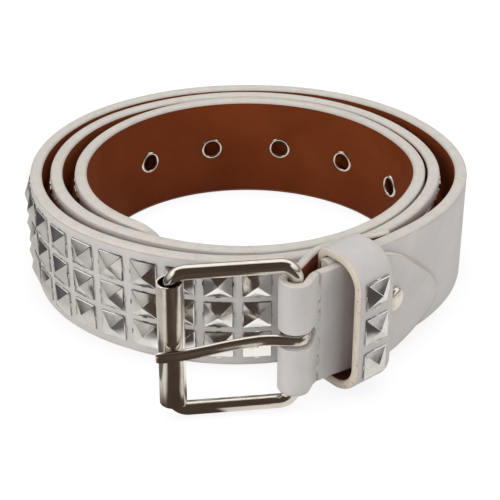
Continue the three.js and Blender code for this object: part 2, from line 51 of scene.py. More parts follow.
class Signal:
    """A number or colour inside a material. Sums on it add Math nodes."""

    def __init__(self, recipe, socket):
        self.recipe = recipe
        self.socket = socket

    def joined(self, operation, other=0.0, turned=False):
        values = [other, self] if turned else [self, other]
        return self.recipe.add("ShaderNodeMath", {"operation": operation}, dict(enumerate(values)))

    def __add__(self, other):
        return self.joined("ADD", other)

    def __radd__(self, other):
        return self.joined("ADD", other, True)

    def __sub__(self, other):
        return self.joined("SUBTRACT", other)

    def __rsub__(self, other):
        return self.joined("SUBTRACT", other, True)

    def __mul__(self, other):
        return self.joined("MULTIPLY", other)

    def __rmul__(self, other):
        return self.joined("MULTIPLY", other, True)

    def __truediv__(self, other):
        return self.joined("DIVIDE", other)

    def __pow__(self, other):
        return self.joined("POWER", other)

    def size(self):
        return self.joined("ABSOLUTE")

    def clamped(self):
        return self.recipe.add("ShaderNodeClamp", {}, {"Value": self})

    def near(self, value, spread):
        return (1 - (self - value).size() / spread).clamped()

    def inside(self, value, reach):
        """1 within the reach, with a soft edge outside it."""
        return self.near(value, 1.2 * reach).above(0.08, 0.1)

    def above(self, value, spread):
        return ((self - value) / spread).clamped()


class Recipe:
    """The nodes of one material, or of the world."""

    def __init__(self, owner):
        self.owner = owner
        owner.use_nodes = True
        self.tree = owner.node_tree
        self.tree.nodes.clear()

    def add(self, kind, settings=None, inputs=None, output=0):
        node = self.tree.nodes.new(kind)
        for key, value in (settings or {}).items():
            setattr(node, key, value)
        for key, value in (inputs or {}).items():
            if isinstance(value, Signal):
                self.tree.links.new(value.socket, node.inputs[key])
            else:
                node.inputs[key].default_value = value
        return Signal(self, node.outputs[output])

    def place(self):
        return self.add("ShaderNodeTexCoord", output="Object")

    def noise(self, place, scale, detail=3.0, roughness=0.5):
        sockets = {"Vector": place, "Scale": scale, "Detail": detail, "Roughness": roughness}
        return self.add("ShaderNodeTexNoise", {}, sockets)

    def mark(self, name):
        return self.add("ShaderNodeAttribute", {"attribute_name": name}, output="Fac")

    def mix(self, share, a, b):
        return self.add("ShaderNodeMix", {"data_type": "RGBA"}, {0: share, 6: a, 7: b}, 2)

    def bump(self, height, distance, strength=1.0, normal=None):
        sockets = {"Height": height, "Distance": distance, "Strength": strength}
        if normal:
            sockets["Normal"] = normal
        return self.add("ShaderNodeBump", {}, sockets)

    def surface(self, inputs):
        return self.output(self.add("ShaderNodeBsdfPrincipled", {}, inputs))

    def output(self, shader, kind="ShaderNodeOutputMaterial"):
        end = self.tree.nodes.new(kind)
        self.tree.links.new(shader.socket, end.inputs["Surface"])
        return self.owner


def new_material(name):
    return Recipe(bpy.data.materials.new(name))


def round_about(recipe, way):
    """Angle from the front in radians, positive to the right, of a place or a way, and its axes."""
    axes = recipe.add("ShaderNodeSeparateXYZ", {}, {"Vector": way})
    across, deep, up = (Signal(recipe, axes.socket.node.outputs[k]) for k in "XYZ")
    angle = recipe.add("ShaderNodeMath", {"operation": "ARCTAN2"}, {0: across, 1: 0 - deep})
    return angle, across, deep, up


def paper():
    """White sheet to the camera, with a painted contact shadow close to the belt. Mirrored rays see
    painted reflections on it instead: cream close to the belt, and dark further out, painted as a
    card and as the room behind the camera."""
    recipe = new_material("paper")
    place = recipe.place()
    angle, across, deep = round_about(recipe, place)[:3]
    away = (across * across + deep * deep) ** 0.5
    # Painted reflection: where mirrored rays find the dark room behind the camera on the floor.
    further = away.above(0.088, 0.006)
    front = angle.above(-0.54, 0.16) * (1 - further) + angle.above(-0.42, 0.08) * further
    front = front * (1 - angle.above(-0.09, 0.03)) * away.above(0.062, 0.006)
    front = front + angle.inside(0.0, 0.12) * away.above(0.084, 0.008)
    front = (front + angle.inside(0.23, 0.5) * away.above(0.111, 0.008)).clamped()
    # Painted reflection of a dark card at the left front.
    card = angle.inside(-0.68, 0.14) * away.above(0.065, 0.006)
    card = card * (1 - (away - angle * 0.08).above(0.159, 0.005))
    left = 1 - angle.above(-0.7, 0.2)
    # Painted reflection of a cream sheet, brightest just in front of the belt.
    shade = recipe.noise(place, 14.0, 1.0)
    cream = recipe.mix(shade.above(0.4, 0.2), (0.66, 0.635, 0.595, 1), (0.84, 0.81, 0.765, 1))
    close = angle.inside(0.0, 0.5) * (1 - away.above(0.066, 0.01))
    cream = recipe.mix(close, cream, (1.0, 0.97, 0.93, 1))
    # Painted reflection: the floor turns grey to the left of the belt and near black further out.
    colour = recipe.mix(left * away.above(0.07, 0.012), cream, (0.54, 0.52, 0.49, 1))
    colour = recipe.mix(left * away.above(0.13, 0.08), colour, (0.075, 0.07, 0.068, 1))
    # Painted reflection of the room's dim, mottled tones.
    room = recipe.mix(shade.above(0.35, 0.3), (0.062, 0.044, 0.035, 1), (0.11, 0.084, 0.068, 1))
    room = recipe.mix(angle.above(0.3, 0.1), room, (0.075, 0.071, 0.068, 1))
    colour = recipe.mix(card * 0.9, colour, (0.07, 0.067, 0.065, 1))
    colour = recipe.mix(front, colour, room)
    # Painted contact shadow: the white that the camera sees darkens close to the belt.
    painted_contact_shadow = recipe.add("ShaderNodeAmbientOcclusion", {"samples": 8}, {"Distance": 0.018}, "AO")
    glow = recipe.mix(painted_contact_shadow.above(0.25, 0.75), (0.9, 0.9, 0.91, 1), (1.06, 1.06, 1.06, 1))
    seen = recipe.add("ShaderNodeLightPath", output="Is Camera Ray")
    mirrored = recipe.add("ShaderNodeLightPath", output="Is Glossy Ray")
    tone = recipe.mix(seen, colour, glow)
    shown = recipe.add("ShaderNodeEmission", {}, {"Color": tone, "Strength": 1.0})
    lit = recipe.add("ShaderNodeBsdfDiffuse", {}, {"Color": (0.75, 0.75, 0.75, 1)})
    by_eye_or_mirror = (seen + mirrored).clamped()
    both = recipe.add("ShaderNodeMixShader", {}, {0: by_eye_or_mirror, 1: lit, 2: shown})
    return recipe.output(both)


def placed(name, data):
    made = bpy.data.objects.new(name, data)
    bpy.context.collection.objects.link(made)
    return made


FLOOR = 4.0
FLOOR_DROP = 0.0002
floor_mesh = bpy.data.meshes.new("floor")
corners = [(-FLOOR, -FLOOR, 0), (FLOOR, -FLOOR, 0), (FLOOR, FLOOR, 0), (-FLOOR, FLOOR, 0)]
floor_mesh.from_pydata(corners, [], [(0, 1, 2, 3)])
floor_mesh.materials.append(paper())
floor = placed("floor", floor_mesh)
floor.location.z = -FLOOR_DROP


def tent():
    """Pale cloth at both sides under a bright lid. The room shows dark below the cloth and
    through a gap that runs from behind the camera up to the zenith."""
    world = bpy.data.worlds.new("studio")
    recipe = Recipe(world)
    way = recipe.add("ShaderNodeTexCoord", output="Generated")
    angle, across, deep, up = round_about(recipe, way)
    wall = recipe.mix(angle.inside(1.5, 0.6), (0.60, 0.57, 0.53, 1), (0.86, 0.84, 0.81, 1))
    folds = recipe.noise(way, 2.2, 1.0)
    dim = recipe.mix(folds.above(0.4, 0.25), (0.045, 0.043, 0.041, 1), (0.13, 0.126, 0.122, 1))
    wall = recipe.mix(up.above(0.07, 0.2), dim, wall)
    shown = recipe.mix(up.above(0.36, 0.2), wall, (1.12, 1.10, 1.07, 1))
    gap = across.inside(0.05, 0.66) * (1 - deep.above(0.05, 0.12))
    shown = recipe.mix(gap, shown, (0.062, 0.046, 0.037, 1))
    mirrored = recipe.add("ShaderNodeLightPath", output="Is Glossy Ray")
    colour = recipe.mix(mirrored, (0.235, 0.235, 0.232, 1), shown)
    seen = recipe.add("ShaderNodeLightPath", output="Is Camera Ray")
    colour = recipe.mix(seen, colour, (1, 1, 1, 1))
    sky = recipe.add("ShaderNodeBackground", {}, {"Color": colour, "Strength": 1.0})
    recipe.output(sky, "ShaderNodeOutputWorld")
    bpy.context.scene.world = world


tent()


def softbox(name, place, width, height, power, aim=(0, 0, 0.02)):
    light = bpy.data.lights.new(name, "AREA")
    light.shape = "RECTANGLE"
    light.size = width
    light.size_y = height
    light.energy = power
    light.color = (1.0, 0.98, 0.965)
    lamp = placed(name, light)
    lamp.location = place
    lamp.rotation_euler = (Vector(aim) - Vector(place)).to_track_quat("-Z", "Y").to_euler()
    lamp.visible_glossy = False


softbox("overhead", (0.08, 0.05, 0.7), 0.6, 0.5, 1.55)
softbox("left_side", (-0.58, -0.42, 0.36), 0.35, 0.45, 2.8)
softbox("right_side", (0.74, -0.12, 0.36), 0.35, 0.4, 1.9)
softbox("front", (-0.05, -0.95, 0.42), 0.5, 0.3, 1.9)
softbox("back", (0.1, 0.85, 0.35), 0.5, 0.3, 1.6)
bpy.context.scene.view_settings.view_transform = "Standard"

camera_data = bpy.data.cameras.new("camera")
camera_data.lens = 97.9
camera_data.sensor_width = 36
camera_data.clip_start = 0.01
camera = placed("camera", camera_data)
camera.location = (0.00146, -0.4036, 0.2417)
camera.rotation_euler = (math.radians(90 - 29.68), 0, 0)
bpy.context.scene.camera = camera

# Strap. One long band of leather, 38 mm wide and 4 mm thick with its lining, dyed white, with
# its edges rounded and painted over the whole thickness. It stands on edge, coiled almost three
# times round, and the buckle holds its near end a little off the floor.
MM = 0.001
STRAP_WIDTH = 38.0
STRAP_THICKNESS = 4.0
STUD_HEIGHT = 2.3
CLEARANCE = 0.3
COIL_HALF_WIDTH = 74.1
COIL_HALF_DEPTH = 67.65
COIL_START = -30
COIL_ROW_STEP = 30
COIL_SWEEP = 1050
ROWS_PER_TURN = 12
COIL_REACH = [1.0, 1.0, 0.998, 1.009, 1.008, 1.01, 1.006, 1.0, 1.01, 1.005, 0.995, 0.948]
COIL_GAP = [
    1.52, 2.17, 2.26, 1.74, 1.12, 1.26, 1.12, 1.12, 1.12, 1.12, 0.6, 0.3,
    0.25, 0.25, 0.38, 0.38, 0.38, 0.65, 1.7, 1.75, 1.15, 0.28, 0.28, 0.28,
]
BAR_RIGHT = 13.6
BAR_STAND_OFF = 20.4
FOLD_YAW = 50.8
TAIL_YAW = 34.8
STRAP_END_GAP = 13.3
FRAME_LENGTH = 35.9
FRAME_HEIGHT = 46.4
FRAME_YAW = 7.4
WIRE_RADIUS = 2.2
FRAME_MIDDLE = WIRE_RADIUS + FRAME_HEIGHT / 2
TAIL_LIFT = FRAME_MIDDLE - STRAP_WIDTH / 2
TAIL_LIFT_LENGTH = 90.0
PLAIN_LENGTH = 108.0
STUD_COLUMNS = 58
STUD_COLUMN_PITCH = 11.5
BARE_LENGTH = 143.0
HOLE_COUNT = 5
HOLE_PITCH = 27.0
HOLE_MARGIN = 12.8
TIP_STUD_COLUMNS = 4
TIP_LENGTH = 45.0
TIP_ROUND_LENGTH = 17.0
TIP_END_SHARE = 0.12
HOLE_RADIUS = 3.5
HOLE_DEPTH = 6.4
STRAP_STEP = 1.25


def unit(degrees):
    return Vector((math.cos(math.radians(degrees)), math.sin(math.radians(degrees))))


def between(values, at):
    """Smooth value between table rows, at a row number that may have a fraction."""
    last = len(values) - 1
    k = min(max(int(at), 0), last - 1)
    t = at - k
    p0, p1, p2, p3 = (values[min(max(i, 0), last)] for i in (k - 1, k, k + 1, k + 2))
    start, end = (p2 - p0) / 2, (p3 - p1) / 2
    cubic = (2 * p1 - 2 * p2 + start + end) * t + (3 * p2 - 3 * p1 - 2 * start - end)
    return (cubic * t + start) * t + p1


row_radii = []
for row in range(len(COIL_REACH) + len(COIL_GAP)):
    toward = unit(COIL_START + row * COIL_ROW_STEP)
    outline = 1 / math.hypot(toward.x / COIL_HALF_WIDTH, toward.y / COIL_HALF_DEPTH)
    if row < ROWS_PER_TURN:
        row_radii.append(outline * COIL_REACH[row])
    else:
        air = CLEARANCE + COIL_GAP[row - ROWS_PER_TURN] * STUD_HEIGHT
        row_radii.append(row_radii[row - ROWS_PER_TURN] - STRAP_THICKNESS - air)


def coil_point(angle):
    """Point of the strap's middle line, at an angle that grows from turn to turn."""
    outer_face = between(row_radii, (angle - COIL_START) / COIL_ROW_STEP)
    return unit(angle) * (outer_face - STRAP_THICKNESS / 2)


bar = Vector((BAR_RIGHT, -COIL_HALF_DEPTH - BAR_STAND_OFF))
strap_end = bar + unit(FOLD_YAW) * STRAP_END_GAP
coil_start = coil_point(COIL_START)
coil_back = (coil_start - coil_point(COIL_START + 1)).normalized()
tail_span = (coil_start - strap_end).length
tail = [
    strap_end,
    strap_end + unit(TAIL_YAW) * tail_span / 3,
    coil_start + coil_back * tail_span / 4,
    coil_start,
]
strap_line = []
for i in range(101):
    t = i / 100
    weights = ((1 - t) ** 3, 3 * t * (1 - t) ** 2, 3 * t * t * (1 - t), t ** 3)
    strap_line.append(sum((p * w for p, w in zip(tail, weights)), Vector((0, 0))))
strap_line += [coil_point(COIL_START + 0.5 * i) for i in range(1, 2 * COIL_SWEEP)]
strap_lengths = [0.0]
for a, b in zip(strap_line, strap_line[1:]):
    strap_lengths.append(strap_lengths[-1] + (b - a).length)

# The coil's middle stands where the CAD has it, found from the roller on the far bar
roller_low, roller_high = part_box("roller")
roller_middle = Vector((roller_low[0] + roller_high[0], roller_low[1] + roller_high[1])) / 2 / MM
belt_place = roller_middle - (bar + unit(180 + FRAME_YAW) * FRAME_LENGTH)


def on_strap(length):
    """Point of the strap's middle line, its direction and its outward side."""
    k = min(max(bisect.bisect_left(strap_lengths, length), 1), len(strap_line) - 2)
    part = (length - strap_lengths[k - 1]) / (strap_lengths[k] - strap_lengths[k - 1])
    along = (strap_line[k + 1] - strap_line[k - 1]).normalized()
    return strap_line[k - 1].lerp(strap_line[k], part), along, Vector((along.y, -along.x))


def lift(length):
    t = min(max((length + STRAP_END_GAP) / TAIL_LIFT_LENGTH, 0), 1)
    return TAIL_LIFT * (1 + math.cos(math.pi * t)) / 2


def yaw(way):
    return math.atan2(way.y, way.x)


def arc(middle_u, middle_z, radius, start, end, steps):
    turns = [math.radians(start + (end - start) * i / steps) for i in range(steps + 1)]
    return [(middle_u + radius * math.cos(t), middle_z + radius * math.sin(t)) for t in turns]


def circle(radius, count):
    return arc(0, 0, radius, 0, 360 - 360 / count, count - 1)


PAINT_FADE = 1.4


def band_section(outer, inner, half, outer_round, inner_round, rim=0.0, sunk=0.0, lined=False):
    """Points (offset, height, edge, inside) round a band's section, outer face first. "edge" is 1
    on the painted edge and "inside" is 1 on a brown inner face."""
    upper = [(outer, half - outer_round - PAINT_FADE, 0.0, 0.0)]
    top = arc(outer - outer_round, half - outer_round, outer_round, 0, 90, 4)
    upper += [(u, z, i / 4, 0.0) for i, (u, z) in enumerate(top)]
    back = arc(inner + inner_round, half - inner_round, inner_round, 90, 180, 4)
    upper += [(u, z, 1.0 - 0.4 * i / 4, 0.0) for i, (u, z) in enumerate(back)]
    if rim:
        upper += [(inner, half - rim, 0.6, 0.0), (inner + sunk, half - rim - 0.06, 0.0, 1.0)]
    if lined:
        upper += [(inner, half - inner_round - 0.12, 0.0, 1.0)]
    lower = [(u, -z, edge, inside) for u, z, edge, inside in reversed(upper)]
    return upper + lower


def standing(point, out, section, middle):
    """One ring of a band that stands on edge."""
    return [Vector((point.x + out.x * u, point.y + out.y * u, middle + z)) for u, z, *_ in section]


def outward(mesh, merged=0.0):
    """Turns a closed mesh's faces outwards, after its doubles are merged where it has any."""
    shaped = bmesh.new()
    shaped.from_mesh(mesh)
    if merged:
        bmesh.ops.remove_doubles(shaped, verts=shaped.verts, dist=merged)
    bmesh.ops.recalc_face_normals(shaped, faces=shaped.faces)
    shaped.to_mesh(mesh)
    shaped.free()


def marked(mesh, mark, values):
    """Writes one number on each point of a mesh, for its material to read."""
    for point, value in zip(mesh.attributes.new(mark, "FLOAT", "POINT").data, values):
        point.value = value


def skin(name, rings, section, travel, looped=False, sharp=38):
    """Closed mesh through rings of points in mm, with its own UV map in metres."""
    size = len(rings[0])
    verts = [(p + Vector((belt_place.x, belt_place.y, 0))) * MM for ring in rings for p in ring]
    spans = len(rings) if looped else len(rings) - 1
    faces = []
    corners = []
    around = [0.0]
    for a, b in zip(section, section[1:] + section[:1]):
        around.append(around[-1] + math.hypot(b[0] - a[0], b[1] - a[1]))
    for i in range(spans):
        a, b = i * size, (i + 1) % len(rings) * size
        for j in range(size):
            k = (j + 1) % size
            faces.append((a + j, b + j, b + k, a + k))
            corners += [(i, j), (i + 1, j), (i + 1, j + 1), (i, j + 1)]
    if not looped:
        end = (len(rings) - 1) * size
        faces += [tuple(range(size)), tuple(range(end, end + size))]
        corners += [(0, j) for j in range(size)] + [(spans, j) for j in range(size)]
    mesh = bpy.data.meshes.new(name)
    mesh.from_pydata(verts, [], faces)
    chart = mesh.uv_layers.new(name="along")
    for loop, (i, j) in zip(chart.data, corners):
        loop.uv = (travel[i] * MM, around[j] * MM)
    for k, mark in ((2, "edge"), (3, "inside")):
        marked(mesh, mark, [section[i % size][k] for i in range(len(verts))])
    outward(mesh)
    mesh.shade_smooth()
    mesh.set_sharp_from_angle(angle=math.radians(sharp))
    return placed(name, mesh)


def plain(made):
    """Turns an object's live modifiers into a plain mesh."""
    graph = bpy.context.evaluated_depsgraph_get()
    mesh = bpy.data.meshes.new_from_object(
        made.evaluated_get(graph), preserve_all_data_layers=True, depsgraph=graph,
    )
    made.modifiers.clear()
    made.data = mesh
    return made


def cut(made, cutter):
    """Cuts one object out of another."""
    modifier = made.modifiers.new("cut", "BOOLEAN")
    modifier.operation = "DIFFERENCE"
    modifier.solver = "EXACT"
    modifier.object = cutter
    plain(made)
    bpy.data.objects.remove(cutter)


def side_faces(first, count):
    """Faces between a ring of points and the ring that follows it."""
    return [
        (first + i, first + (i + 1) % count, first + count + (i + 1) % count, first + count + i)
        for i in range(count)
    ]


def prism(name, outline, matrices):
    """Prisms of one outline, from y = -1 to y = 1 in each matrix."""
    verts, faces = [], []
    for matrix in matrices:
        first = len(verts)
        count = len(outline)
        verts += [matrix @ Vector((x, y, z)) for y in (-1, 1) for x, z in outline]
        faces += [tuple(range(start, start + count)) for start in (first, first + count)]
        faces += side_faces(first, count)
    mesh = bpy.data.meshes.new(name)
    mesh.from_pydata(verts, [], faces)
    outward(mesh)
    return placed(name, mesh)


def strap_matrix(length, offset, depth=1.0):
    """Matrix in metres with x along the strap, -y out of it and z up."""
    point, along, out = on_strap(length)
    place = point + out * offset + belt_place
    turn = Matrix.Rotation(yaw(along), 4, "Z")
    height = STRAP_WIDTH / 2 + lift(length)
    scale = Matrix.Diagonal((MM, MM * depth, MM, 1))
    return Matrix.Translation(Vector((place.x, place.y, height)) * MM) @ turn @ scale


def dressed(made, material, body, slot, *nodes):
    """Gives a finished piece its material and its body, and hides the nodes it stands for. The slot
    is not used.
    """
    made.data.materials.clear()
    made.data.materials.append(material)
    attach(made, body)
    if nodes:
        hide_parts(*nodes)


def dimmed(colour, share):
    return tuple(share * c for c in colour[:3]) + (1,)


def leather(name, face, rim, cracking, back):
    """White dyed leather with fine pores, painted edges that crack a little, and a raw back. Where
    a mesh marks them, painted shade darkens the stitch groove and a painted shadow falls beside the
    keeper.
    """
    recipe = new_material(name)
    place = recipe.place()
    edge = recipe.mark("edge")
    inside = recipe.mark("inside").above(0.35, 0.3)
    broad = recipe.noise(place, 70.0, 3.0)
    fine = recipe.noise(place, 900.0, 4.0, 0.6)
    pores = recipe.add(
        "ShaderNodeTexVoronoi", {"feature": "DISTANCE_TO_EDGE"}, {"Vector": place, "Scale": 1300.0},
    )
    dusty = dimmed(face, 0.9)
    colour = recipe.mix(broad.above(0.38, 0.35), dusty, face)
    colour = recipe.mix(fine.above(0.45, 0.4) * 0.18, colour, dusty)
    paint = recipe.mix(recipe.noise(place, 260.0).above(0.4, 0.3), rim, dimmed(rim, 0.93))
    painted = edge.above(0.2, 0.25)
    colour = recipe.mix(painted, colour, paint)
    worn = recipe.noise(place, 120.0)
    seam = edge.near(0.2, 0.15) * (0.35 + 0.65 * worn.above(0.42, 0.16))
    colour = recipe.mix(seam * 0.7, colour, (0.42, 0.30, 0.22, 1))
    # Painted shade in the stitch holes and the groove the stitches pinch, broken into dashes.
    stitch_groove_shade = recipe.mark("stitch_groove_shade") * (0.25 + 0.75 * recipe.noise(place, 420.0, 1.0).above(0.5, 0.08))
    colour = recipe.mix(stitch_groove_shade * 0.7, colour, (0.16, 0.10, 0.075, 1))
    # Painted shadow of the keeper, darkening the tab's front leg beside it.
    colour = recipe.mix(recipe.mark("keeper_shadow") * 0.5, colour, (0.30, 0.215, 0.18, 1))
    colour = recipe.mix(recipe.mark("bare").above(0.6, 0.3) * 0.6, colour, (0.42, 0.30, 0.22, 1))
    cracks = recipe.noise(place, 330.0, 2.0).near(0.5, 0.012)
    cracks = cracks * recipe.noise(place, 90.0).above(0.52, 0.1)
    colour = recipe.mix(cracks * painted * cracking, colour, (0.30, 0.19, 0.12, 1))
    raw = recipe.mix(fine, dimmed(back, 0.8), back)
    colour = recipe.mix(inside, colour, raw)
    grain = recipe.bump(pores.above(0.0, 0.16) + fine * 0.7, 0.0001, 0.55)
    uneven = recipe.bump(broad, 0.0006, 0.5, grain)
    return recipe.surface({
        "Base Color": colour,
        "Roughness": 0.46 + fine * 0.14 - painted * 0.08,
        "Specular IOR Level": 0.4,
        "Normal": uneven,
    })


WHITE = (0.667, 0.643, 0.63, 1)
WHITE_LEATHER = leather("white_leather", WHITE, (0.715, 0.68, 0.63, 1), 0.5, (0.25, 0.063, 0.02, 1))

EDGE_ROUND_OUTER = 1.25
EDGE_ROUND_INNER = 1.0
EDGE_RIM = 1.15
EDGE_STEP = 0.35
BROWN_FROM = -0.9
hole_start = PLAIN_LENGTH + STUD_COLUMNS * STUD_COLUMN_PITCH + BARE_LENGTH
hole_lengths = [hole_start + HOLE_PITCH * (i + 0.25) for i in range(HOLE_COUNT)]
tip_studs_start = hole_start + (HOLE_COUNT - 0.5) * HOLE_PITCH + HOLE_MARGIN
tip_start = tip_studs_start + TIP_STUD_COLUMNS * STUD_COLUMN_PITCH + TIP_LENGTH - TIP_ROUND_LENGTH
strap_steps = [STRAP_STEP * i for i in range(int(tip_start / STRAP_STEP))]
strap_steps += [tip_start + TIP_ROUND_LENGTH * math.sin(math.pi / 2 * i / 24) for i in range(25)]


def strap_half(length):
    """Half of the strap's width, which closes round at the tip."""
    share = min(max((length - tip_start) / TIP_ROUND_LENGTH, 0), 1)
    return STRAP_WIDTH / 2 * max((1 - share ** 2.4) ** 0.48, TIP_END_SHARE)


def strap_rings(shape):
    rings = []
    for length in strap_steps:
        point, along, out = on_strap(length)
        section = shape(strap_half(length))
        rings.append(standing(point, out, section, STRAP_WIDTH / 2 + lift(length)))
    return rings


def strap_shape(half):
    """Section of the strap, whose inner face is left brown along its lower edge."""
    face = STRAP_THICKNESS / 2
    rounds = (EDGE_ROUND_OUTER, EDGE_ROUND_INNER)
    section = band_section(face, -face, half, *rounds, EDGE_RIM, EDGE_STEP)
    return [
        (u, z, edge, 1.0 if u < BROWN_FROM and z < 0 else inside) for u, z, edge, inside in section
    ]


strap = skin("strap_leather", strap_rings(strap_shape), strap_shape(STRAP_WIDTH / 2), strap_steps)
hole_outline = circle(HOLE_RADIUS, 24)
hole_matrices = [strap_matrix(length, 0, HOLE_DEPTH / 2) for length in hole_lengths]
cut(strap, prism("holes", hole_outline, hole_matrices))
dressed(strap, WHITE_LEATHER, "belt", "white_leather", "strap")

# Lining. A thin brown leather glued to the strap's inner face between the painted edges, with
# the same holes. Its surface is matte, with a short nap and faint marks from wear.
LINING_OUTER = -1.72
LINING_INNER = -1.97
LINING_INSET = 1.32
LINING_ROUND = 0.06


def brown_leather():
    recipe = new_material("brown_lining")
    place = recipe.place()
    broad = recipe.noise(place, 45.0, 4.0)
    fine = recipe.noise(place, 1500.0, 3.0, 0.6)
    weave = recipe.noise(place, 420.0, 2.0)
    colour = recipe.mix(broad.above(0.3, 0.4), (0.165, 0.034, 0.008, 1), (0.215, 0.048, 0.013, 1))
    colour = recipe.mix(weave.above(0.5, 0.2) * 0.25, colour, (0.16, 0.045, 0.02, 1))
    colour = recipe.mix(fine.above(0.6, 0.2) * 0.15, colour, (0.36, 0.12, 0.05, 1))
    return recipe.surface({
        "Base Color": colour,
        "Roughness": 0.62 + fine * 0.2,
        "Specular IOR Level": 0.12,
        "Normal": recipe.bump(fine + weave * 0.6, 0.00008, 0.6),
    })


BROWN_LEATHER = brown_leather()


def lining_shape(half):
    half -= LINING_INSET
    return band_section(LINING_OUTER, LINING_INNER, half, LINING_ROUND, LINING_ROUND)


lining = skin("strap_lining", strap_rings(lining_shape), lining_shape(STRAP_WIDTH / 2), strap_steps)
cut(lining, prism("holes", hole_outline, hole_matrices))
dressed(lining, BROWN_LEATHER, "belt", "brown_lining", "lining")

# Studs. Pyramids pressed from thin plated sheet, each with a short straight skirt and a prong on
# every side that goes into the leather. They stand in rows of three across the strap.
STUD_HALF = 4.5
STUD_SKIRT = 0.55
STUD_ROOT = 0.35
STUD_CHAMFER = 0.28
STUD_SHOULDER = 0.24
STUD_ROW_PITCH = 10.9
PRONG_HALF = 0.95
PRONG_OUT = 0.34
BOX_FACES = ((0, 1, 3, 2), (4, 5, 7, 6), (0, 1, 5, 4), (2, 3, 7, 6), (1, 3, 7, 5), (0, 2, 6, 4))


def set_in_rows():
    """Tree that sets one shape on every point, turned by the point's own angle, a little askew."""
    tree = bpy.data.node_groups.new("set_in_rows", "GeometryNodeTree")
    for name, kind in (
        ("Places", "Geometry"), ("Shape", "Object"), ("Askew", "Float"), ("Seed", "Int"),
        ("Finish", "Material"),
    ):
        tree.interface.new_socket(name=name, in_out="INPUT", socket_type="NodeSocket" + kind)
    tree.interface.new_socket(name="Set", in_out="OUTPUT", socket_type="NodeSocketGeometry")
    nodes = {}
    for key, kind in (
        ("in", "NodeGroupInput"), ("out", "NodeGroupOutput"), ("shape", "GeometryNodeObjectInfo"),
        ("turn", "GeometryNodeInputNamedAttribute"), ("euler", "FunctionNodeEulerToRotation"),
        ("random", "FunctionNodeRandomValue"), ("scale", "ShaderNodeVectorMath"),
        ("small", "FunctionNodeEulerToRotation"), ("rotate", "FunctionNodeRotateRotation"),
        ("set", "GeometryNodeInstanceOnPoints"), ("real", "GeometryNodeRealizeInstances"),
        ("finish", "GeometryNodeSetMaterial"),
    ):
        nodes[key] = tree.nodes.new(kind)
    nodes["turn"].data_type = "FLOAT_VECTOR"
    nodes["turn"].inputs["Name"].default_value = "turn"
    nodes["random"].data_type = "FLOAT_VECTOR"
    nodes["random"].inputs[0].default_value = (-1, -1, -1)
    nodes["random"].inputs[1].default_value = (1, 1, 1)
    nodes["scale"].operation = "SCALE"
    nodes["rotate"].rotation_space = "LOCAL"
    for source, output, target, socket in (
        ("in", "Shape", "shape", "Object"), ("turn", 0, "euler", "Euler"),
        ("in", "Seed", "random", "Seed"), ("random", 0, "scale", 0),
        ("in", "Askew", "scale", "Scale"), ("scale", 0, "small", "Euler"),
        ("euler", 0, "rotate", "Rotation"), ("small", 0, "rotate", "Rotate By"),
        ("in", "Places", "set", "Points"), ("shape", "Geometry", "set", "Instance"),
        ("rotate", 0, "set", "Rotation"), ("set", 0, "real", 0),
        ("real", 0, "finish", "Geometry"), ("in", "Finish", "finish", "Material"),
        ("finish", 0, "out", 0),
    ):
        tree.links.new(nodes[source].outputs[output], nodes[target].inputs[socket])
    return tree


SET_IN_ROWS = set_in_rows()


def set_out(name, shape, places, askew, seed, material):
    """Sets copies of a shape at places given as (point in metres, Euler turn)."""
    mesh = bpy.data.meshes.new(name)
    mesh.from_pydata([point for point, turn in places], [], [])
    turns = mesh.attributes.new("turn", "FLOAT_VECTOR", "POINT")
    for i, (point, turn) in enumerate(places):
        turns.data[i].vector = turn
    made = placed(name, mesh)
    modifier = made.modifiers.new("set", "NODES")
    modifier.node_group = SET_IN_ROWS
    values = {"Shape": shape, "Askew": askew, "Seed": seed, "Finish": material}
    for item in SET_IN_ROWS.interface.items_tree:
        if item.in_out == "INPUT" and item.name in values:
            modifier[item.identifier] = values[item.name]
    plain(made)
    bpy.data.objects.remove(shape)
    return made


def stud_shape():
    """Pyramid that points to -y, with narrow worn ridges and a prong at the middle of each side."""
    def square(y, half, chamfer):
        pairs = [(-half, -half + chamfer), (-half, half - chamfer), (-half + chamfer, half),
                 (half - chamfer, half), (half, half - chamfer), (half, -half + chamfer),
                 (half - chamfer, -half), (-half + chamfer, -half)]
        return [(x, y, z) for x, z in pairs]

    levels = [
        square(STUD_ROOT, STUD_HALF, STUD_CHAMFER),
        square(-STUD_SKIRT + STUD_SHOULDER, STUD_HALF, STUD_CHAMFER),
        square(-STUD_SKIRT, STUD_HALF - STUD_SHOULDER, 0.2),
        square(-STUD_HEIGHT + 0.05, 0.28, 0.1),
        square(-STUD_HEIGHT, 0.12, 0.05),
    ]
    verts = [point for level in levels for point in level]
    faces = [tuple(range(8)), tuple(range(32, 40))]
    for i in range(4):
        faces += side_faces(8 * i, 8)
    for quarter in range(4):
        first = len(verts)
        turn = Matrix.Rotation(math.pi / 2 * quarter, 3, "Y")
        for x, top in ((STUD_HALF - 0.3, 0.1), (STUD_HALF + PRONG_OUT, 0.0)):
            for z in (-PRONG_HALF, PRONG_HALF):
                low, high = (x, STUD_ROOT, z), (x, top - STUD_SKIRT * 0.6, z * 0.8)
                verts += [turn @ Vector(low), turn @ Vector(high)]
        faces += [tuple(first + k for k in corners) for corners in BOX_FACES]
    mesh = bpy.data.meshes.new("stud_shape")
    mesh.from_pydata([Vector(v) * MM for v in verts], [], faces)
    outward(mesh)
    chart = mesh.uv_layers.new(name="face")
    for loop, corner in zip(chart.data, mesh.loops):
        x, y, z = mesh.vertices[corner.vertex_index].co / (STUD_HALF * MM)
        loop.uv = (x, z)
    return placed("stud_shape", mesh)


